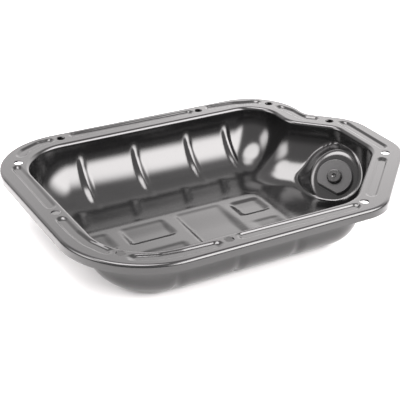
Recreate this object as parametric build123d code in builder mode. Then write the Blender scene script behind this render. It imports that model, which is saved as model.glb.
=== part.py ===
from build123d import *
import math
import os

os.makedirs("parts", exist_ok=True)

# Engine oil pan pressed from one sheet: a flat bolting flange with a turned-down
# skirt round it, a shallow ribbed bowl, and a drain nut, washer and plug at one end.
# Z is up, X runs along the pan with the drain at +X, Y across it, and the origin is
# on the surface that the pan stands on, under the middle of its outline.

# Whole pan
pan_length = 300
pan_width = 229
sheet = 1.2
bowl_depth = 42.8
skirt_height = 6.8
skirt_bend = 2.5
mouth_bend = 3

# Plan of the skirt
left_lean = 9.3
left_bulge = 2.445
chamfer_run = 73.2
notch_step = 30.4
notch_width = 59.5
diagonal_run = 30.4
far_left_radius = 59
near_left_radius = 67
near_right_radius = 35
right_lower_radius = 35
right_upper_radius = 40
notch_radius = 15
far_right_radius = 47

# Distance from the skirt's face to the flat edge of the mouth, on each side
left_flange = 18.7
near_flange = 15.9
chamfer_flange = 20.6
right_flange = 21.7
diagonal_flange = 19.5
notch_flange = 20.3
far_flange = 20.2

# Corners of the mouth and of the floor
mouth_far_left = 43
mouth_near_left = 48
mouth_near_right = 35
mouth_right_lower = 25
mouth_right_upper = 20
mouth_notch = 20
mouth_far_right = 28.5
floor_far_left = 12
floor_near_left = 19
floor_near_right = 12
floor_right = 8
floor_notch = 31
floor_far_right = 6

# Sweep of each wall into the floor, and how far the steep walls lean
far_sweep = 41
left_sweep = 22
near_sweep = 22
chamfer_sweep = 23
right_sweep = 34
wall_lean = 0.07

# Ribs pressed inward in the far and near walls
rib_radius = 6
rib_proud = 3
rib_exit = 0.5
far_rib_places = [74.5, 122.3, 171.3, 208.3]
near_rib_places = [72.3, 118.9, 166.7]
near_rib_top = 4
near_rib_sweep = 36

# Raised grid of the floor and its sunken panels
grid_rise = 1
panel_sink = 1
slope_angle = 60
grid_left = 38
grid_near = 47.5
grid_length = 160.8
grid_depth = 86.7
grid_round = 12
panel_round = 8
panel_from_far = 6
panel_start = 44
end_panel = 20
middle_panel = 40
wide_panel = 42
small_panel = 27.5
column_gap = 8
small_gap = 5.3
far_row = 28
near_row = 37
row_gap = 9.5

# Line of the bolt holes and sealant grooves, by its distance from the skirt's face
left_line = 13.3
near_line = 11.6
chamfer_line = 13.2
right_line = 13.9
diagonal_line = 11.4
notch_line = 9.6
far_line = 10.8

# Bolt holes and sealant grooves. The holes' distances along that line are from its
# start at the notch for the first two, then past the pan's length for those round the
# far left corner, from half-way round for the left and near ones, and before its end
bolt_hole = 7
holes_from_start = [23.9, 91.4]
holes_past_length = [-82.3, -26.7]
holes_from_middle = [-52.4, 23.6, 99]
holes_before_end = [206, 117.9, 41.5]
groove_width = 8
groove_depth = 1
groove_from_hole = 12

# Drain: where the plate's seat is, and how it leans
drain_from_right = 45.7
drain_across = -13.7
drain_drop = 28.6
drain_turn = 42
drain_rise = 40
pad_radius = 21
pad_round = 5
pad_reach = 60
plate_diameter = 29
plate_thickness = 4
plate_flat = 11.3
plate_flat_turn = 20.8
thread_diameter = 12
thread_play = 0.2
sheet_hole_play = 0.6
washer_diameter = 21
washer_thickness = 1.5
plug_flange_diameter = 20
plug_flange_thickness = 2.5
hex_across_flats = 17
hex_height = 6
plug_past_plate = 3
lead_in = 1
plate_edge = 0.6

flange_top = bowl_depth + panel_sink + sheet
floor_top = flange_top - bowl_depth
wall_height = bowl_depth - mouth_bend
right_end = pan_length / 2
left_end = -right_end
far_edge = pan_width / 2
near_edge = -far_edge


def moved_sides(corners, insets):
    # Corners of a polygon whose side i, from corner i on, has moved inward by insets[i].
    lines = []
    for i, (x, y) in enumerate(corners):
        nx, ny = corners[(i + 1) % len(corners)]
        length = math.hypot(nx - x, ny - y)
        a, b = -(ny - y) / length, (nx - x) / length
        lines.append((a, b, a * x + b * y + insets[i]))
    points = []
    for i in range(len(corners)):
        a, b, c = lines[i - 1]
        d, e, f = lines[i]
        det = a * e - b * d
        points.append(((c * e - b * f) / det, (a * f - c * d) / det))
    return points


skirt_corners = [
    (left_end - left_bulge, far_edge),
    (left_end - left_bulge + left_lean, near_edge),
    (right_end - chamfer_run, near_edge),
    (right_end, near_edge + chamfer_run),
    (right_end, far_edge - notch_width - diagonal_run),
    (right_end - notch_step, far_edge - notch_width),
    (right_end - notch_step, far_edge),
]
skirt_radii = [
    far_left_radius,
    near_left_radius,
    near_right_radius,
    right_lower_radius,
    right_upper_radius,
    notch_radius,
    far_right_radius,
]
flanges = [
    left_flange,
    near_flange,
    chamfer_flange,
    right_flange,
    diagonal_flange,
    notch_flange,
    far_flange,
]
mouth_corners = moved_sides(skirt_corners, flanges)
mouth_radii = [
    mouth_far_left,
    mouth_near_left,
    mouth_near_right,
    mouth_right_lower,
    mouth_right_upper,
    mouth_notch,
    mouth_far_right,
]
floor_radii = [
    floor_far_left,
    floor_near_left,
    floor_near_right,
    floor_right,
    floor_right,
    floor_notch,
    floor_far_right,
]
bends = [1, 1, 1, 1, 1, -1, 1]
sweeps = [
    left_sweep,
    near_sweep,
    chamfer_sweep,
    right_sweep,
    far_sweep,
    far_sweep,
    far_sweep,
]
leans = [wall_lean, wall_lean, 0, 0, 0, 0, 0]


def skirt_outline(grow):
    # Outline of the skirt, moved inward by -grow.
    points = moved_sides(skirt_corners, [-grow] * 7)
    radii = [r + grow * b for r, b in zip(skirt_radii, bends)]
    return points, radii


def mouth_outline(inset):
    # Outline of the mouth's flat edge, moved inward by inset.
    points = moved_sides(mouth_corners, [inset] * 7)
    radii = [r - inset * b for r, b in zip(mouth_radii, bends)]
    return points, radii


def wall_outline(height, grow):
    # Outline of the bowl's wall at a height over the floor; grow is 0 for the inner
    # face and the sheet's thickness for the outer one.
    insets = []
    shares = []
    for sweep, lean in zip(sweeps, leans):
        rise = min(sweep, wall_height)
        drop = max(rise - height, 0) / (rise + grow)
        run = sweep - (sweep + grow) * math.sqrt(max(1 - drop**2, 0))
        insets.append(mouth_bend + run + lean * (wall_height - min(max(height, 0), wall_height)))
        shares.append((run + grow) / (sweep + grow))
    points = moved_sides(mouth_corners, insets)
    radii = []
    for i in range(7):
        top = mouth_radii[i] - mouth_bend * bends[i]
        share = (shares[i - 1] + shares[i]) / 2
        radii.append(top + (floor_radii[i] - top) * share + grow * bends[i])
    return points, radii


def face_of(outline, height):
    # A flat face with a rounded outline, at a height over the origin.
    points, radii = outline
    with BuildSketch(Plane.XY.offset(height)) as face:
        with BuildLine():
            FilletPolyline(*points, radius=radii, close=True)
        make_face()
    return face.sketch


def bowl_faces(grow):
    # Outlines of the wall from the floor up, close together low down.
    turns = [math.radians(90 * k / 9) for k in range(10)]
    heights = [wall_height - (wall_height + grow) * math.cos(turn) for turn in turns]
    return [face_of(wall_outline(h, grow), floor_top + h) for h in heights]


def rib_along(path, radius):
    # A rib of a round section along a path.
    with BuildPart() as rib:
        with BuildSketch(Plane(origin=path @ 0, z_dir=path % 0)):
            Circle(radius)
        sweep(path=path)
    return rib.part


def far_rib(x, radius):
    # A wide arc that stands proud of the wall half-way down it and leaves it at both ends.
    y = far_edge - far_flange - mouth_bend - far_sweep
    z = floor_top + far_sweep
    middle = (far_sweep + rib_radius - rib_proud) * math.sqrt(0.5)
    end = far_sweep + rib_radius + rib_exit
    with BuildLine(Plane.YZ.offset(x)) as path:
        ThreePointArc((y + end, z), (y + middle, z - middle), (y, z - end))
    return rib_along(path.wires()[0], radius)


def near_rib(x, radius):
    # Steep down the wall, then round into the floor.
    y = near_edge + near_flange + mouth_bend
    start = (y - rib_radius - rib_exit, flange_top - mouth_bend - near_rib_top)
    corner = (y + rib_radius - rib_exit, floor_top + rib_proud - rib_exit)
    foot = (y + near_sweep - rib_exit, floor_top - rib_radius)
    with BuildLine(Plane.YZ.offset(x)) as path:
        FilletPolyline(start, corner, foot, radius=near_rib_sweep)
    return rib_along(path.wires()[0], radius)


def ribs(radius):
    # All the ribs, at the radius of the sheet's inner or outer face.
    far = [far_rib(left_end + place, radius) for place in far_rib_places]
    near = [near_rib(left_end + place, radius) for place in near_rib_places]
    return far + near


def grid_block(base):
    # The raised part of the floor, under all the panels.
    x = left_end + grid_left + grid_length / 2
    y = near_edge + grid_near + grid_depth / 2
    with BuildPart() as block:
        with BuildSketch(Plane.XY.offset(base)):
            with Locations((x, y)):
                RectangleRounded(grid_length, grid_depth, grid_round)
        extrude(amount=grid_rise, taper=slope_angle)
    return block.part


def panel_block(base):
    # The sunken panels: one at the end, a pair, a long one and a second pair.
    far = near_edge + grid_near + grid_depth - panel_from_far
    low = far - far_row - row_gap
    first = left_end + panel_start
    second = first + end_panel + column_gap
    third = second + middle_panel + column_gap
    fourth = third + wide_panel + small_gap
    depth = far_row + row_gap + near_row
    with BuildPart() as block:
        with BuildSketch(Plane.XY.offset(base + grid_rise)):
            corner = (Align.MIN, Align.MAX)
            with Locations((first, far)):
                RectangleRounded(end_panel, far_row, panel_round, align=corner)
            with Locations((second, far)):
                RectangleRounded(middle_panel, far_row, panel_round, align=corner)
            with Locations((second, low)):
                RectangleRounded(middle_panel, near_row, panel_round, align=corner)
            with Locations((third, far)):
                RectangleRounded(wide_panel, depth, panel_round, align=corner)
            with Locations((fourth, far)):
                RectangleRounded(small_panel, far_row, panel_round, align=corner)
            with Locations((fourth, low)):
                RectangleRounded(small_panel, near_row, panel_round, align=corner)
        extrude(amount=-(grid_rise + panel_sink), taper=slope_angle)
    return block.part


# Drain axis: it leans out of the bowl, down and away from the pan's middle
turn = math.radians(drain_turn)
rise = math.radians(drain_rise)
drain_plane = Plane(
    origin=(right_end - drain_from_right, drain_across, flange_top - drain_drop),
    x_dir=(math.sin(turn), -math.cos(turn), 0),
    z_dir=(-math.cos(rise) * math.cos(turn), -math.cos(rise) * math.sin(turn), math.sin(rise)),
)


def pad_block(inside):
    # The round pad that carries the nut, inside or on the sheet's outer side.
    with BuildPart() as block:
        with BuildSketch(drain_plane.offset(-inside)):
            Circle(pad_radius - inside)
        extrude(amount=-pad_reach)
        fillet(block.faces().sort_by(drain_plane.location.z_axis)[-1].edges(), pad_round - inside)
    return block.part


# Bowl: the space inside it and the body round it, made by the same steps
with BuildPart() as bowl_space:
    loft(sections=bowl_faces(0))
    add(ribs(rib_radius), mode=Mode.SUBTRACT)
    add(grid_block(floor_top), mode=Mode.SUBTRACT)
    add(panel_block(floor_top))
    add(pad_block(0), mode=Mode.SUBTRACT)

with BuildPart() as bowl_body:
    loft(sections=bowl_faces(sheet))
    add(ribs(rib_radius - sheet), mode=Mode.SUBTRACT)
    add(grid_block(floor_top - sheet), mode=Mode.SUBTRACT)
    add(panel_block(floor_top - sheet))
    add(pad_block(sheet), mode=Mode.SUBTRACT)

# Line along which the bolt holes and grooves lie
bolt_lines = [left_line, near_line, chamfer_line, right_line, diagonal_line, notch_line, far_line]
line_corners = moved_sides(skirt_corners, bolt_lines)
line_radii = [(a + b) / 2 for a, b in zip(skirt_radii, mouth_radii)]
groove_radius = (groove_width**2 / 4 + groove_depth**2) / (2 * groove_depth)
groove_lift = groove_radius - groove_depth
with BuildLine(Plane.XY.offset(flange_top + groove_lift)) as bolt_line:
    FilletPolyline(*line_corners, radius=line_radii, close=True)
line = bolt_line.wires()[0]
round_trip = line.length
hole_places = list(holes_from_start)
hole_places += [pan_length + place for place in holes_past_length]
hole_places += [round_trip / 2 + place for place in holes_from_middle]
hole_places += [round_trip - place for place in holes_before_end]


def groove_tool(start, end, radius):
    # A tube along the bolt line with a ball at each end; it may pass the line's start.
    spans = [(start, end)] if end <= round_trip else [(start, round_trip), (0, end - round_trip)]
    with BuildPart() as tool:
        for low, high in spans:
            run = line.trim(low / round_trip, high / round_trip)
            with BuildSketch(Plane(origin=run @ 0, z_dir=run % 0)):
                Circle(radius)
            sweep(path=run)
        with Locations(line @ (start / round_trip), line @ ((end / round_trip) % 1)):
            Sphere(radius)
    return tool.part


def grooves(radius):
    ends = hole_places[1:] + [hole_places[0] + round_trip]
    pairs = zip(hole_places, ends)
    return [groove_tool(a + groove_from_hole, b - groove_from_hole, radius) for a, b in pairs]


# Undersides of the grooves: only what lies below the flange's middle
with BuildPart() as groove_backs:
    add(grooves(groove_radius + sheet))
    with BuildSketch(Plane.XY.offset(flange_top - sheet / 2)):
        Rectangle(pan_length, pan_width)
    extrude(amount=groove_lift + 2 * groove_radius, mode=Mode.SUBTRACT)


def flange_block(inside):
    # The flange's upper side, or with the sheet's thickness the space under it, down
    # to the skirt's rim, with the bends of the skirt and of the mouth.
    rim = flange_top - skirt_height
    height = skirt_height - inside
    with BuildPart() as block:
        extrude(face_of(skirt_outline(-inside), rim), amount=height)
        fillet(block.edges().group_by(Axis.Z)[-1], skirt_bend - inside)
        extrude(face_of(mouth_outline(mouth_bend - inside), rim), amount=height, mode=Mode.SUBTRACT)
        top = block.faces().filter_by(Plane.XY).sort_by(Axis.Z)[-1]
        fillet(top.inner_wires()[0].edges(), mouth_bend - inside)
    return block.part


# The pressed sheet: its flange first, then the bowl under the mouth's bend
with BuildPart() as flange_sheet:
    add(flange_block(0))
    add(flange_block(sheet), mode=Mode.SUBTRACT)
    lip = flange_top - mouth_bend
    extrude(face_of(mouth_outline(0), lip), amount=-skirt_height, mode=Mode.SUBTRACT)
    add(groove_backs.part)
    add(grooves(groove_radius), mode=Mode.SUBTRACT)
    with Locations(*[line @ (place / round_trip) for place in hole_places]):
        Cylinder(bolt_hole / 2, 4 * groove_radius, mode=Mode.SUBTRACT)

with BuildPart() as pan_shell:
    add(bowl_body.part)
    add(bowl_space.part, mode=Mode.SUBTRACT)
    add(flange_sheet.part)
    with BuildSketch(drain_plane):
        Circle(thread_diameter / 2 + sheet_hole_play)
    extrude(amount=-2 * sheet, mode=Mode.SUBTRACT)
pan_shell.part.label = "pan_shell"
export_step(pan_shell.part, "parts/pan_shell.step")

# Nut welded on the pad: a round plate with one flat, bored for the plug
with BuildPart() as drain_nut:
    with BuildSketch(drain_plane):
        Circle(plate_diameter / 2)
        with Locations(Rotation(0, 0, -plate_flat_turn)):
            with Locations((0, -plate_flat)):
                Rectangle(plate_diameter, plate_diameter, align=(Align.CENTER, Align.MAX), mode=Mode.SUBTRACT)
        Circle(thread_diameter / 2 + thread_play, mode=Mode.SUBTRACT)
    extrude(amount=plate_thickness)
    rim = drain_nut.faces().filter_by(GeomType.PLANE).sort_by(drain_plane.location.z_axis)[-1]
    chamfer(rim.outer_wire().edges(), plate_edge)
drain_nut.part.label = "drain_nut"
export_step(drain_nut.part, "parts/drain_nut.step")

# Crush washer between the pan's outside and the plug's flange
washer_plane = drain_plane.offset(-sheet - washer_thickness)
with BuildPart() as drain_washer:
    with BuildSketch(washer_plane):
        Circle(washer_diameter / 2)
        Circle(thread_diameter / 2 + sheet_hole_play, mode=Mode.SUBTRACT)
    extrude(amount=washer_thickness)
drain_washer.part.label = "drain_washer"
export_step(drain_washer.part, "parts/drain_washer.step")

# Plug: hexagon head, flange and threaded shank
with BuildPart() as drain_plug:
    with BuildSketch(washer_plane):
        Circle(plug_flange_diameter / 2)
    extrude(amount=-plug_flange_thickness)
    with BuildSketch(washer_plane):
        RegularPolygon(hex_across_flats / 2, 6, major_radius=False)
    extrude(amount=-plug_flange_thickness - hex_height)
    head_end = drain_plug.faces().filter_by(GeomType.PLANE).sort_by(drain_plane.location.z_axis)[0]
    chamfer(head_end.edges(), plate_edge)
    with BuildSketch(washer_plane):
        Circle(thread_diameter / 2)
    extrude(amount=washer_thickness + sheet + plate_thickness + plug_past_plate)
    tip = drain_plug.faces().filter_by(GeomType.PLANE).sort_by(drain_plane.location.z_axis)[-1]
    chamfer(tip.edges(), lead_in)
drain_plug.part.label = "drain_plug"
export_step(drain_plug.part, "parts/drain_plug.step")
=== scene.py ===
import math
import bpy
import bmesh
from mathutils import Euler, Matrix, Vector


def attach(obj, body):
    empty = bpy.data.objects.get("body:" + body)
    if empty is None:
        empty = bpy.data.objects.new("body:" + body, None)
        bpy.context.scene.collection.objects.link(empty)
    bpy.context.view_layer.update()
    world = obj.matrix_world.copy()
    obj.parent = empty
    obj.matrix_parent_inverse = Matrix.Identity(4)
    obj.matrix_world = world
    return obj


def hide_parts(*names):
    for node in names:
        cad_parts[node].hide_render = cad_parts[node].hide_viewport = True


for name in ("Cube", "Light", "Camera"):
    if name in bpy.data.objects:
        bpy.data.objects.remove(bpy.data.objects[name])

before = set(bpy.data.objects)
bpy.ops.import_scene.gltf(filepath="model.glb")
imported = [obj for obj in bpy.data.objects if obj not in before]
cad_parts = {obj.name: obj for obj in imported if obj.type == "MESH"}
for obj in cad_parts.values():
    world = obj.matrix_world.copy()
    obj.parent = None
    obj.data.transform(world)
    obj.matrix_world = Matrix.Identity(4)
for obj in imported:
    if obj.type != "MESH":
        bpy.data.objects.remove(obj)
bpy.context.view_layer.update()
print("frame loaded")

view = {
    "place": (-0.32038, -0.58061, 0.36404),
    "tilt": 62.255,
    "turn": -27.911,
    "lens": 86.4,
}
bpy.ops.object.select_all(action="DESELECT")
bpy.ops.object.camera_add(location=view["place"])
camera = bpy.context.object
camera.rotation_euler = Euler((math.radians(view["tilt"]), 0, math.radians(view["turn"])))
camera.data.lens = view["lens"]
camera.data.sensor_width = 36
bpy.context.scene.camera = camera
print("camera placed")

# The pressed sheet, in millimetres until the mesh is made. Sides run from the
# far-left corner: left, near, chamfer, right, diagonal, notch, far.
sheet = {
    "top": 45.0,
    "thickness": 1.2,
    "rim": 38.2,
    "skirtBend": 2.5,
    "mouthBend": 3.0,
    "floor": 2.2,
    "skirt": [
        (-152.45, 114.5), (-143.15, -114.5), (76.8, -114.5), (150, -41.3),
        (150, 24.6), (119.6, 55), (119.6, 114.5),
    ],
    "skirtRound": [59, 67, 35, 35, 40, 15, 47],
    "flange": [18.7, 15.9, 20.6, 21.7, 19.5, 20.3, 20.2],
    "mouthRound": [43, 48, 35, 25, 20, 20, 28.5],
    "floorRound": [12, 19, 12, 8, 8, 31, 6],
    "bends": [1, 1, 1, 1, 1, -1, 1],
    "sweep": [22, 22, 23, 34, 41, 41, 41],
    "lean": [0.07, 0.07, 0, 0, 0, 0, 0],
    "spacing": 1.42,
    "middle": (-28.0, -14.0),
}


def movedSides(corners, insets):
    lines = []
    count = len(corners)
    for i in range(count):
        x, y = corners[i]
        nx, ny = corners[(i + 1) % count]
        length = math.hypot(nx - x, ny - y)
        a, b = -(ny - y) / length, (nx - x) / length
        lines.append((a, b, a * x + b * y + insets[i]))
    points = []
    for i in range(count):
        a, b, c = lines[i - 1]
        d, e, f = lines[i]
        det = a * e - b * d
        points.append(((c * e - b * f) / det, (a * f - c * d) / det))
    return points


def cornerArc(corners, radii, i):
    # Centre, start angle and turn of the round at corner i.
    count = len(corners)
    x, y = corners[i]
    px, py = corners[i - 1]
    nx, ny = corners[(i + 1) % count]
    inAngle = math.atan2(y - py, x - px)
    outAngle = math.atan2(ny - y, nx - x)
    turn = (outAngle - inAngle + math.pi) % (2 * math.pi) - math.pi
    side = 1 if turn > 0 else -1
    back = radii[i] * math.tan(abs(turn) / 2)
    sx, sy = x - back * math.cos(inAngle), y - back * math.sin(inAngle)
    cx, cy = sx - side * radii[i] * math.sin(inAngle), sy + side * radii[i] * math.cos(inAngle)
    return cx, cy, inAngle - side * math.pi / 2, turn, radii[i]


def ringPoints(corners, radii, steps):
    # Points round a rounded outline: steps holds how many go on each round and side.
    points = []
    arcs = [cornerArc(corners, radii, i) for i in range(len(corners))]
    for i, (cx, cy, start, turn, radius) in enumerate(arcs):
        onRound, onSide = steps[i]
        for k in range(onRound):
            angle = start + turn * k / onRound
            points.append((cx + radius * math.cos(angle), cy + radius * math.sin(angle)))
        ax, ay = cx + radius * math.cos(start + turn), cy + radius * math.sin(start + turn)
        dx, dy, begin, _, wide = arcs[(i + 1) % len(arcs)]
        bx, by = dx + wide * math.cos(begin), dy + wide * math.sin(begin)
        for k in range(onSide):
            t = k / onSide
            points.append((ax + (bx - ax) * t, ay + (by - ay) * t))
    return points


def ringSteps(fine):
    # How many points go on each round and side; the coarse rings have half of them.
    spacing = 2 * sheet["spacing"]
    corners = movedSides(sheet["skirt"], sheet["flange"])
    radii = sheet["mouthRound"]
    arcs = [cornerArc(corners, radii, i) for i in range(7)]
    steps = []
    for i, (cx, cy, start, turn, radius) in enumerate(arcs):
        dx, dy, begin, _, wide = arcs[(i + 1) % 7]
        ax, ay = cx + radius * math.cos(start + turn), cy + radius * math.sin(start + turn)
        bx, by = dx + wide * math.cos(begin), dy + wide * math.sin(begin)
        onRound = max(3, round(abs(turn) * radius / spacing))
        onSide = max(2, round(math.hypot(bx - ax, by - ay) / spacing))
        steps.append([onRound, onSide])
    total = sum(a + b for a, b in steps)
    steps[6][1] += (-total) % 8
    return [[2 * a, 2 * b] for a, b in steps] if fine else steps


def wallRing(height):
    # Insets and radii of the wall's outline at a height over the floor.
    deep = sheet["top"] - sheet["floor"] - sheet["mouthBend"]
    insets = []
    shares = []
    for i in range(7):
        sweep = sheet["sweep"][i]
        rise = min(sweep, deep)
        drop = max(rise - height, 0) / rise
        run = sweep * (1 - math.sqrt(max(1 - drop * drop, 0)))
        leaning = sheet["lean"][i] * (deep - min(height, deep))
        insets.append(sheet["flange"][i] + sheet["mouthBend"] + run + leaning)
        shares.append(run / sweep)
    radii = []
    for i in range(7):
        top = sheet["mouthRound"][i] - sheet["mouthBend"] * sheet["bends"][i]
        share = (shares[i - 1] + shares[i]) / 2
        radii.append(top + (sheet["floorRound"][i] - top) * share)
    return insets, radii


def sheetRings(fine):
    # Rings of the upper face from the skirt's rim to the middle of the floor, each a
    # list of (x, y, z, part), and how many of the ring's points are kept.
    steps = ringSteps(fine)
    scale = 1 if fine else 0.5
    rings = []
    bend, mouth, top = sheet["skirtBend"], sheet["mouthBend"], sheet["top"]

    def put(insets, radii, z, part):
        corners = movedSides(sheet["skirt"], insets)
        rings.append([(x, y, z, part) for x, y in ringPoints(corners, radii, steps)])

    def rows(number):
        return max(2, round(number * scale))

    edge = [sheet["skirtRound"][i] for i in range(7)]
    count = rows(3)
    for k in range(count):
        put([0] * 7, edge, sheet["rim"] + (top - bend - sheet["rim"]) * k / count, "skirt")
    for k in range(rows(8)):
        angle = math.radians(90 * k / rows(8))
        inset = bend * (1 - math.cos(angle))
        radii = [r - inset * b for r, b in zip(edge, sheet["bends"])]
        put([inset] * 7, radii, top - bend * (1 - math.sin(angle)), "bend")
    flatEdge = [r - bend * b for r, b in zip(edge, sheet["bends"])]
    count = rows(30)
    for k in range(count):
        t = k / count
        insets = [bend + (w - bend) * t for w in sheet["flange"]]
        radii = [a + (b - a) * t for a, b in zip(flatEdge, sheet["mouthRound"])]
        put(insets, radii, top, "flange")
    count = rows(9)
    for k in range(count):
        angle = math.radians(90 * k / count)
        inset = mouth * math.sin(angle)
        radii = [r - inset * b for r, b in zip(sheet["mouthRound"], sheet["bends"])]
        insets = [w + inset for w in sheet["flange"]]
        put(insets, radii, top - mouth * (1 - math.cos(angle)), "mouth")
    deep = top - sheet["floor"] - mouth
    count = rows(33)
    for k in range(count + 1):
        angle = math.radians(90 * k / count)
        height = deep * (1 - math.sin(angle)) if k < count else 0
        insets, radii = wallRing(height)
        put(insets, radii, sheet["floor"] + height, "wall")
    foot = rings[-1]
    mx, my = sheet["middle"]
    count = rows(48)
    for k in range(1, count):
        t = 1 - k / count
        keep = 1 if t > 0.55 else 2 if t > 0.28 else 4 if t > 0.12 else 8
        kept = foot[::keep]
        rings.append([(mx + (x - mx) * t, my + (y - my) * t, z, "floor") for x, y, z, _ in kept])
    return rings


# What is pressed into the sheet
ribs = {
    "far": [-75.3, -27.65, 21.35, 58.35],
    "near": [-77.65, -31.05, 16.75],
    "halfWidth": 4.8,
    "proud": 1.5,
    "farFoot": 91.3 - 41,
    "nearFoot": -95.6 + 24.6,
    "nearSweep": 22,
    "farRise": (8, 26),
    "farFade": (36, 94),
    "nearRise": (2, 9),
    "nearFade": (60, 92),
}
grooves = {
    "depth": 1.3,
    "halfWidth": 4.2,
    "flatWidth": 2.5,
    "reach": 5,
    "lines": [
        [
            (-124.4, 88.6), (-119.5, 94.5), (-114.5, 97.3), (-109.3, 99.95),
            (-104.2, 102.6), (-96.8, 103.1),
        ],
        [(-73.4, 105.5), (30.4, 103.7)],
        [(53.5, 105.5), (76, 103.2), (94.3, 97.2)],
        [(107.4, 75.7), (110.6, 66.2), (110.8, 58.5), (111.6, 51.8), (113.3, 46.7), (118.3, 42)],
        [(135.85, 20.95), (135.45, -30.85)],
        [(119.5, -51.9), (77.9, -93.7)],
        [(55.5, -104.4), (-34.1, -102.8)],
        [(-56.6, -104.9), (-79, -103.8), (-95, -101.5), (-109.7, -95.4)],
        [(-123.8, -78), (-130.5, -62), (-133.2, -45), (-134, -26.3)],
        [(-133.9, -2.5), (-135.4, 66)],
    ],
}
pattern = {
    "rise": 0.35,
    "sink": 0.9,
    "grid": (-120.0, 49.0, -66.0, 19.7),
    "gridRound": 8.0,
    "gridSlope": 4.5,
    "marginLift": -0.9,
    "marginWidth": 24.0,
    "panels": [
        (-113.0, -86.3, -14.4, 13.7),
        (-78.3, -38.3, -14.4, 13.7),
        (-78.3, -38.3, -62.0, -24.4),
        (-30.3, 11.8, -62.0, 14.7),
        (17.1, 44.8, -13.4, 11.7),
        (18.3, 43.8, -62.0, -21.9),
    ],
    "farShare": [0.3, 0.3, 0.3, 0.3, 0.7, 0.3],
    "reach": [0.7, 0.7, 0.6, 0.45, 0.5, 0.6],
    "panelRound": 5.0,
    "panelSlope": 4.4,
}
drain = {
    "seat": (104.3, -13.7, 16.4),
    "turn": 42,
    "rise": 40,
    "padFlat": 17.3,
    "padRound": 7.5,
    "narrow": 1.06,
    "tall": 0.92,
    "side": 1.7,
    "lowSide": 0.9,
    "blend": 3.2,
    "seatBlend": 0.6,
    "blendRise": (14.5, 23),
    "sideRise": (-0.1, 0.45),
    "reach": 40,
    "fineRadius": 29,
    "fineHeight": 26,
    "bore": 6.6,
    "boreDepth": 6,
}
turn, rise = math.radians(drain["turn"]), math.radians(drain["rise"])
drainAxis = Vector((
    -math.cos(rise) * math.cos(turn),
    -math.cos(rise) * math.sin(turn),
    math.sin(rise),
))
drainAcross = Vector((math.sin(turn), -math.cos(turn), 0))
drainUp = drainAxis.cross(drainAcross)
drainSeat = Vector(drain["seat"])


def smooth(value, low, high):
    t = min(max((value - low) / (high - low), 0), 1)
    return t * t * (3 - 2 * t)


def lineDistance(x, y, points):
    best = 1e9
    for (ax, ay), (bx, by) in zip(points, points[1:]):
        dx, dy = bx - ax, by - ay
        t = min(max(((x - ax) * dx + (y - ay) * dy) / (dx * dx + dy * dy), 0), 1)
        best = min(best, math.hypot(x - ax - t * dx, y - ay - t * dy))
    return best


def boxDistance(x, y, box, radius):
    # Signed distance to a rounded rectangle, negative inside.
    cx, cy = (box[0] + box[1]) / 2, (box[2] + box[3]) / 2
    qx = abs(x - cx) - (box[1] - box[0]) / 2 + radius
    qy = abs(y - cy) - (box[3] - box[2]) / 2 + radius
    return math.hypot(max(qx, 0), max(qy, 0)) + min(max(qx, qy), 0) - radius


def floorShift(x, y):
    # Height that the floor's raised grid, its margin and its sunken panels add.
    outside = boxDistance(x, y, pattern["grid"], pattern["gridRound"])
    slope = pattern["gridSlope"]
    lift = pattern["rise"] * smooth(-outside, -slope / 2, slope / 2)
    lift += pattern["marginLift"] * smooth(outside, 0, pattern["marginWidth"])
    deepest = 0
    for box, share, reach in zip(pattern["panels"], pattern["farShare"], pattern["reach"]):
        away = -boxDistance(x, y, box, pattern["panelRound"])
        if away > 0:
            dish = share + (1 - share) * smooth((box[3] - y) / (box[3] - box[2]), 0, reach)
            deepest = max(deepest, dish * smooth(away, 0, pattern["panelSlope"]))
    return lift - (pattern["rise"] + pattern["sink"]) * deepest


def ribShift(x, y, z):
    # Push inward, as a vector, of the ribs of the two long walls.
    height = z - sheet["floor"]
    deep = sheet["top"] - sheet["floor"] - sheet["mouthBend"]
    farFoot = ribs["farFoot"]
    if y > farFoot - 12:
        for place in ribs["far"]:
            away = abs(x - place)
            if away < ribs["halfWidth"]:
                angle = math.atan2(deep - height, max(y - farFoot, 0.001))
                along = math.degrees(angle)
                tall = smooth(along, *ribs["farRise"]) * (1 - smooth(along, *ribs["farFade"]))
                push = ribs["proud"] * tall * math.cos(math.pi * away / 2 / ribs["halfWidth"]) ** 2
                return Vector((0, -math.cos(angle), math.sin(angle))) * push
    nearFoot = ribs["nearFoot"]
    if y < nearFoot + 10:
        for place in ribs["near"]:
            away = abs(x - place)
            if away < ribs["halfWidth"]:
                angle = math.atan2(max(ribs["nearSweep"] - height, 0), max(nearFoot - y, 0.001))
                fade = smooth(math.degrees(angle), *ribs["nearFade"])
                tall = smooth(deep - height, *ribs["nearRise"]) * (1 - fade)
                push = ribs["proud"] * tall * math.cos(math.pi * away / 2 / ribs["halfWidth"]) ** 2
                return Vector((0, math.cos(angle), math.sin(angle))) * push
    return Vector((0, 0, 0))


def pressed(point):
    # Where a point of the plain sheet goes once ribs, grooves and panels are pressed.
    x, y, z, part = point
    if part == "flange":
        for line in grooves["lines"]:
            across = [p[0] for p in line]
            along = [p[1] for p in line]
            near = grooves["reach"]
            beside = min(across) - near < x < max(across) + near
            if beside and min(along) - near < y < max(along) + near:
                away = lineDistance(x, y, line)
                slope = grooves["halfWidth"] - grooves["flatWidth"]
                z -= grooves["depth"] * smooth(grooves["halfWidth"] - away, 0, slope)
    if part in ("wall", "floor"):
        moved = ribShift(x, y, z)
        low = 1 - smooth(z - sheet["floor"], 0.5, 5)
        if low > 0:
            z += floorShift(x, y) * low
        x, y, z = x + moved.x, y + moved.y, z + moved.z
    return Vector((x, y, z))


def padDistance(away):
    # Distance from the drain's axis, in a measure that makes the oval pad round.
    return math.hypot(away.dot(drainAcross) * drain["narrow"], away.dot(drainUp) * drain["tall"])


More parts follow.
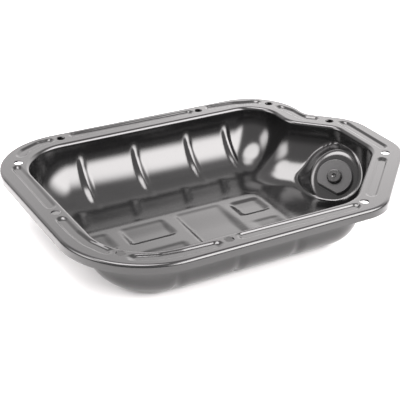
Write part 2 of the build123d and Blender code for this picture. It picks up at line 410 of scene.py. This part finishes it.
def onPad(point):
    # Lift a point of the wall or floor, along the drain's axis, on to the nut's pad.
    away = point - drainSeat
    flat = padDistance(away)
    if flat > drain["reach"]:
        return point
    height = away.dot(drainAxis)
    radius = drain["padRound"]
    edge = flat - drain["padFlat"]
    upward = smooth(away.dot(drainUp) / max(flat, 1), *drain["sideRise"])
    side = drain["lowSide"] + (drain["side"] - drain["lowSide"]) * upward
    if edge <= 0:
        top = 0
    else:
        slopeEdge = radius * math.sin(math.atan(side))
        if edge < slopeEdge:
            top = math.sqrt(radius * radius - edge * edge) - radius
        else:
            top = math.sqrt(radius * radius - slopeEdge * slopeEdge) - radius
            top -= (edge - slopeEdge) * side
    seatBlend = drain["seatBlend"]
    soft = seatBlend + (drain["blend"] - seatBlend) * smooth(flat, *drain["blendRise"])
    gap = top - height
    if gap < -soft:
        return point
    lift = gap if gap > soft else (gap + soft) ** 2 / (4 * soft)
    return point + drainAxis * lift


def joinRings(bm, rings):
    # Faces between rings; where the next ring has half the points, five-sided ones.
    made = [[bm.verts.new(p) for p in ring] for ring in rings]
    for outer, inner in zip(made, made[1:]):
        count, half = len(outer), len(inner)
        for k in range(half):
            if count == half:
                bm.faces.new((outer[k], outer[(k + 1) % count], inner[(k + 1) % half], inner[k]))
            else:
                wide = [outer[2 * k], outer[2 * k + 1], outer[(2 * k + 2) % count]]
                bm.faces.new((*wide, inner[(k + 1) % half], inner[k]))
    last = made[-1]
    middle = bm.verts.new(sum((v.co for v in last), Vector()) / len(last))
    for k in range(len(last)):
        bm.faces.new((last[k], last[(k + 1) % len(last)], middle))


def sheetFace(fine):
    bm = bmesh.new()
    rings = [[pressed(p) for p in ring] for ring in sheetRings(fine)]
    joinRings(bm, rings)
    near = []
    for face in bm.faces:
        away = face.calc_center_median() - drainSeat
        if padDistance(away) < drain["fineRadius"] and away.z < drain["fineHeight"]:
            near.append(face)
    edges = list({edge for face in near for edge in face.edges})
    bmesh.ops.subdivide_edges(bm, edges=edges, cuts=2, use_grid_fill=True)
    for vert in bm.verts:
        if vert.co.z < sheet["top"] - 1:
            vert.co = onPad(vert.co)
    bm.normal_update()
    bm.verts.ensure_lookup_table()
    bm.verts.index_update()
    return bm, len(rings[0])


upper, upperCount = sheetFace(True)
lower, lowerCount = sheetFace(False)
points = [tuple(v.co / 1000) for v in upper.verts]
faces = [[v.index for v in f.verts] for f in upper.faces]
offset = len(points)
inner = [v.co - v.normal * sheet["thickness"] for v in lower.verts]
for k in range(lowerCount):
    inner[k].z = sheet["rim"]
points += [tuple(p / 1000) for p in inner]
faces += [[offset + v.index for v in reversed(f.verts)] for f in lower.faces]
print("rings", upperCount, lowerCount, len(points), len(faces))
for k in range(lowerCount):
    near = offset + k
    after = offset + (k + 1) % lowerCount
    faces.append([(2 * k + 2) % upperCount, 2 * k + 1, 2 * k, near, after])
upper.free()
lower.free()
panMesh = bpy.data.meshes.new("pan_sheet")
panMesh.from_pydata(points, [], faces)
panMesh.update()
pan = bpy.data.objects.new("pan_sheet", panMesh)
bpy.context.collection.objects.link(pan)
print("sheet pressed", len(panMesh.vertices), len(panMesh.polygons))

# Bolt holes and the drain's hole are cut through both faces.
boltHoles = {
    "radius": 3.5,
    "places": [
        (-45.396, -102.9), (-133.914, -14.045), (-116.134, -85.673),
        (65.872, -101.244), (130.236, -41.923), (-131.066, 75.771),
        (-86.152, 103.697), (127.522, 30.954), (40.148, 103.7), (102.684, 88.285),
    ],
    "height": 44.4,
    "depth": 10,
    "around": 48,
}


def holeCutter(radius, depth, spot, turned):
    # A cylinder to cut a hole with, in metres.
    bpy.ops.object.select_all(action="DESELECT")
    bpy.ops.mesh.primitive_cylinder_add(
        vertices=boltHoles["around"], radius=radius, depth=depth, location=spot, rotation=turned
    )
    cutter = bpy.context.object
    bpy.ops.object.transform_apply(location=True, rotation=True, scale=True)
    return cutter


cutters = []
for x, y in boltHoles["places"]:
    spot = (x / 1000, y / 1000, boltHoles["height"] / 1000)
    depth = boltHoles["depth"] / 1000
    cutters.append(holeCutter(boltHoles["radius"] / 1000, depth, spot, (0, 0, 0)))
drainTurn = drainAxis.to_track_quat("Z", "Y").to_euler()
bore, depth = drain["bore"] / 1000, drain["boreDepth"] / 1000
cutters.append(holeCutter(bore, depth, drainSeat / 1000, drainTurn))
bpy.ops.object.select_all(action="DESELECT")
for cutter in cutters:
    cutter.select_set(True)
bpy.context.view_layer.objects.active = cutters[0]
bpy.ops.object.join()
tool = bpy.context.object
bpy.ops.object.select_all(action="DESELECT")
pan.select_set(True)
bpy.context.view_layer.objects.active = pan
cut = pan.modifiers.new("holes", "BOOLEAN")
cut.operation = "DIFFERENCE"
cut.solver = "EXACT"
cut.object = tool
bpy.ops.object.modifier_apply(modifier=cut.name)
bpy.data.objects.remove(tool)
bpy.ops.object.shade_smooth_by_angle(angle=math.radians(38))
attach(pan, "root")
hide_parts("pan_shell")
print("holes cut", len(pan.data.vertices), sum(len(p.vertices) - 2 for p in pan.data.polygons))

# The drain plug, by its distance along the drain's axis from its seat on the washer.
plug = {
    "seatBack": 2.74,
    "thread": 6.0,
    "pitch": 1.25,
    "threadDepth": 0.7,
    "shank": 9.7,
    "leadIn": 1.0,
    "dimple": 1.7,
    "flange": 10.0,
    "flangeThick": 2.5,
    "hex": 8.5,
    "hexHeight": 6.0,
    "edge": 0.5,
    "around": 96,
    "threadRows": 86,
}


def hexRadius(angle, limit):
    # Distance to a hexagon's side at an angle, no more than a limit.
    inSide = (angle + math.pi / 6) % (math.pi / 3) - math.pi / 6
    return min(plug["hex"] / math.cos(inSide), limit)


def threadRadius(along, angle):
    phase = (along / plug["pitch"] - angle / (2 * math.pi)) % 1
    height = min(max((abs(2 * phase - 1) - 0.12) / 0.76, 0), 1)
    fade = smooth(along, 0.2, 1.6)
    return plug["thread"] - plug["threadDepth"] * (1 - height) * fade


def plugRows():
    # Rings from the tip's middle to the head's, each a place and a radius by angle.
    tip = plug["shank"]
    inner = plug["thread"] - plug["leadIn"]
    rows = [
        (tip - 0.8, lambda a: 0.25),
        (tip - 0.75, lambda a: 0.9),
        (tip - 0.1, lambda a: plug["dimple"]),
        (tip, lambda a: plug["dimple"] + 0.15),
        (tip, lambda a: inner - 0.9),
        (tip, lambda a: inner - 0.1),
    ]
    count = plug["threadRows"]
    for k in range(count):
        along = (tip - 0.02) * (1 - k / (count - 1))
        cap = inner + (tip - along)
        rows.append((along, lambda a, w=along, c=cap: min(threadRadius(w, a), c)))
    wide, edge, thick = plug["flange"], plug["edge"], plug["flangeThick"]
    rows += [
        (0.0, lambda a: wide - edge),
        (-0.15, lambda a: wide - edge * 0.3),
        (-edge, lambda a: wide),
        (-thick + edge, lambda a: wide),
        (-thick + 0.12, lambda a: wide - edge * 0.4),
        (-thick, lambda a: wide - edge),
    ]
    end = -thick - plug["hexHeight"]
    corner = plug["hex"] / math.cos(math.pi / 6) - 0.15
    rows += [
        (-thick, lambda a: hexRadius(a, corner) + 0.2),
        (-thick - 0.3, lambda a: hexRadius(a, corner)),
        (end + 1.6, lambda a: hexRadius(a, corner)),
        (end + 0.7, lambda a: hexRadius(a, corner - 0.55)),
        (end + 0.15, lambda a: hexRadius(a, plug["hex"] - 0.1)),
        (end, lambda a: plug["hex"] - 0.6),
        (end, lambda a: plug["hex"] - 2.2),
        (end + 0.4, lambda a: plug["hex"] - 2.7),
        (end + 0.4, lambda a: 1.0),
    ]
    return rows


def ringedPiece(name, rows, origin, count):
    bm = bmesh.new()
    made = []
    for along, radius in rows:
        ring = []
        for k in range(count):
            angle = 2 * math.pi * k / count
            wide = radius(angle)
            spot = drainAcross * (wide * math.cos(angle)) + drainUp * (wide * math.sin(angle))
            ring.append(bm.verts.new((origin + drainAxis * along + spot) / 1000))
        made.append(ring)
    for one, two in zip(made, made[1:]):
        for k in range(count):
            bm.faces.new((one[k], two[k], two[(k + 1) % count], one[(k + 1) % count]))
    for ring in (made[0], list(reversed(made[-1]))):
        middle = bm.verts.new(sum((v.co for v in ring), Vector()) / count)
        for k in range(count):
            bm.faces.new((middle, ring[k], ring[(k + 1) % count]))
    bmesh.ops.recalc_face_normals(bm, faces=bm.faces)
    mesh = bpy.data.meshes.new(name)
    bm.to_mesh(mesh)
    bm.free()
    piece = bpy.data.objects.new(name, mesh)
    bpy.context.collection.objects.link(piece)
    bpy.ops.object.select_all(action="DESELECT")
    piece.select_set(True)
    bpy.context.view_layer.objects.active = piece
    bpy.ops.object.shade_smooth_by_angle(angle=math.radians(32))
    return piece


plugSeat = drainSeat - drainAxis * plug["seatBack"]
plugPiece = ringedPiece("plug_body", plugRows(), plugSeat, plug["around"])
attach(plugPiece, "plug")
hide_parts("drain_plug")
print("plug turned", len(plugPiece.data.polygons))


class Value:
    # A socket that can be used in sums and products.
    def __init__(self, tree, socket):
        self.tree, self.socket = tree, socket

    def maths(self, kind, other, flip=False):
        pair = [other, self] if flip else [self, other]
        return self.tree.node("ShaderNodeMath", {"operation": kind}, pair)

    def __add__(self, other):
        return self.maths("ADD", other)

    def __radd__(self, other):
        return self.maths("ADD", other, True)

    def __sub__(self, other):
        return self.maths("SUBTRACT", other)

    def __rsub__(self, other):
        return self.maths("SUBTRACT", other, True)

    def __mul__(self, other):
        return self.maths("MULTIPLY", other)

    def __rmul__(self, other):
        return self.maths("MULTIPLY", other, True)


class Tree:
    def __init__(self, nodes):
        self.nodes = nodes
        self.nodes.nodes.clear()

    def node(self, kind, settings=None, sockets=None, out=0):
        made = self.nodes.nodes.new(kind)
        for name, value in (settings or {}).items():
            setattr(made, name, value)
        pairs = sockets.items() if isinstance(sockets, dict) else enumerate(sockets or [])
        for name, value in pairs:
            if isinstance(value, Value):
                self.nodes.links.new(value.socket, made.inputs[name])
            else:
                made.inputs[name].default_value = value
        return Value(self, made.outputs[out]) if made.outputs else made

    def step(self, value, low, high):
        sockets = {"Value": value, "From Min": low, "From Max": high}
        return self.node("ShaderNodeMapRange", {"interpolation_type": "SMOOTHSTEP"}, sockets)


def newMaterial(name):
    material = bpy.data.materials.new(name)
    material.use_nodes = True
    return material, Tree(material.node_tree)


panCoat = {
    "colour": 0.004,
    "roughness": 0.16,
    "ior": 1.6,
    "peel": 0.04,
}


def coatMaterial(name, values):
    material, tree = newMaterial(name)
    place = tree.node("ShaderNodeTexCoord", out=3)
    cloud = tree.node("ShaderNodeTexNoise", None, {"Vector": place, "Scale": 35.0, "Detail": 3.0})
    grain = tree.node("ShaderNodeTexNoise", None, {"Vector": place, "Scale": 1400.0, "Detail": 2.0})
    rough = values["roughness"] + (cloud - 0.5) * 0.05
    grey = values["colour"] * (0.7 + cloud * 0.6)
    colour = tree.node("ShaderNodeCombineColor", None, [grey, grey, grey * 1.03])
    bump = tree.node("ShaderNodeBump", None, {
        "Strength": values["peel"], "Distance": 0.0004, "Height": grain,
    })
    shader = tree.node("ShaderNodeBsdfPrincipled", None, {
        "Base Color": colour, "Roughness": rough, "IOR": values["ior"], "Normal": bump,
    })
    tree.node("ShaderNodeOutputMaterial", None, {"Surface": shader})
    return material


def metalMaterial(name, grey, roughness, grainScale):
    material, tree = newMaterial(name)
    place = tree.node("ShaderNodeTexCoord", out=3)
    grain = tree.node("ShaderNodeTexNoise", None, {
        "Vector": place, "Scale": grainScale, "Detail": 4.0,
    })
    rough = roughness + (grain - 0.5) * 0.2
    tone = grey * (0.8 + grain * 0.4)
    colour = tree.node("ShaderNodeCombineColor", None, [tone, tone, tone])
    bump = tree.node("ShaderNodeBump", None, {"Strength": 0.1, "Distance": 0.0001, "Height": grain})
    shader = tree.node("ShaderNodeBsdfPrincipled", None, {
        "Base Color": colour, "Metallic": 1.0, "Roughness": rough, "Normal": bump,
    })
    tree.node("ShaderNodeOutputMaterial", None, {"Surface": shader})
    return material


coat = coatMaterial("pan_coat", panCoat)
pan.data.materials.clear()
pan.data.materials.append(coat)
nutCoat = {
    "colour": 0.02,
    "roughness": 0.3,
    "ior": 1.7,
    "peel": 0.08,
}
finishes = {
    "drain_nut": coatMaterial("nut_coat", nutCoat),
    "plug_body": metalMaterial("plug_steel", 0.09, 0.24, 900.0),
    "drain_washer": metalMaterial("washer_metal", 0.6, 0.35, 700.0),
}
for node, material in finishes.items():
    solid = bpy.data.objects[node]
    if not solid.material_slots:
        solid.data.materials.append(material)
    for slot in solid.material_slots:
        slot.material = material
print("materials made")

studio = {
    "away": (0.468, 0.884),
    "base": 1.0,
    "low": 0.3,
    "lowRise": (0.15, 0.45),
    "farLight": 2.5,
    "farEdge": (0.3, 0.7),
    "farRise": (-0.04, 0.04),
    "farFall": (0.48, 0.74),
    "dimLeft": (-0.12, 0.04, 0.62),
    "softbox": 14.0,
    "softboxRise": (0.22, 0.50),
    "softboxEdge": (-0.12, 0.36),
    "softboxLeft": (0.34, 0.54),
    "sidebox": 9.0,
    "sideboxEdge": (-0.72, -0.52),
    "sideboxRise": (-0.5, -0.25),
    "spot": (-0.2, 0.02),
    "spotEdge": (0.06, 0.15),
    "spotRise": (0.3, 0.5),
    "spotLight": 12.0,
    "spread": 2.0,
    "warmth": 0.97,
    "floorColour": 0.9,
}
# Glossy surfaces see patches of light by direction, diffuse ones an even level.
world = bpy.data.worlds.new("studio")
bpy.context.scene.world = world
world.use_nodes = True
sky = Tree(world.node_tree)
towards = sky.node("ShaderNodeTexCoord")
across = sky.node("ShaderNodeSeparateXYZ", None, [towards])
east = Value(sky, across.socket.node.outputs[0])
north = Value(sky, across.socket.node.outputs[1])
level = Value(sky, across.socket.node.outputs[2])
away = east * studio["away"][0] + north * studio["away"][1]
sideways = east * studio["away"][1] - north * studio["away"][0]
farBand = sky.step(away, *studio["farEdge"]) * sky.step(level, *studio["farRise"])
farBand = farBand * (1.0 - sky.step(level, *studio["farFall"]))
dimFrom, dimTo, dimShare = studio["dimLeft"]
dim = dimShare + sky.step(sideways, dimFrom, dimTo) * (1 - dimShare)
overhead = sky.step(level, *studio["softboxRise"]) * (1.0 - sky.step(away, *studio["softboxEdge"]))
rightBox = overhead * sky.step(sideways, *studio["softboxLeft"]) * studio["softbox"]
leftBox = overhead * sky.step(away, *studio["sideboxRise"])
leftBox = leftBox * (1.0 - sky.step(sideways, *studio["sideboxEdge"])) * studio["sidebox"]
base = studio["low"] + sky.step(level, *studio["lowRise"]) * (studio["base"] - studio["low"])
besideX = sideways - studio["spot"][0]
besideY = away - studio["spot"][1]
spot = 1.0 - sky.step(besideX * besideX + besideY * besideY, *studio["spotEdge"])
spot = spot * sky.step(level, *studio["spotRise"]) * studio["spotLight"]
glossy = spot + base + farBand * dim * studio["farLight"] + rightBox + leftBox
seen = sky.node("ShaderNodeLightPath")
spread = Value(sky, seen.socket.node.outputs[2])
strength = glossy + spread * (studio["spread"] - glossy)
tint = (1, studio["warmth"], studio["warmth"], 1)
lit = sky.node("ShaderNodeBackground", None, {"Color": tint, "Strength": strength})
plain = sky.node("ShaderNodeBackground", None, {"Color": (1, 1, 1, 1), "Strength": 1.0})
mixed = sky.node("ShaderNodeMixShader", None, [seen, lit, plain])
sky.node("ShaderNodeOutputWorld", None, {"Surface": mixed})

bpy.ops.object.select_all(action="DESELECT")
bpy.ops.mesh.primitive_plane_add(size=6, location=(0, 0, 0))
ground = bpy.context.object
ground.name = "ground"
groundPaint, groundTree = newMaterial("ground_paint")
plainPaint = groundTree.node("ShaderNodeBsdfPrincipled", None, {
    "Base Color": (studio["floorColour"],) * 3 + (1,),
    "Roughness": 0.9,
    "Specular IOR Level": 0.1,
})
groundTree.node("ShaderNodeOutputMaterial", None, {"Surface": plainPaint})
ground.data.materials.append(groundPaint)

bpy.context.scene.view_settings.view_transform = "Standard"
print("studio lit")
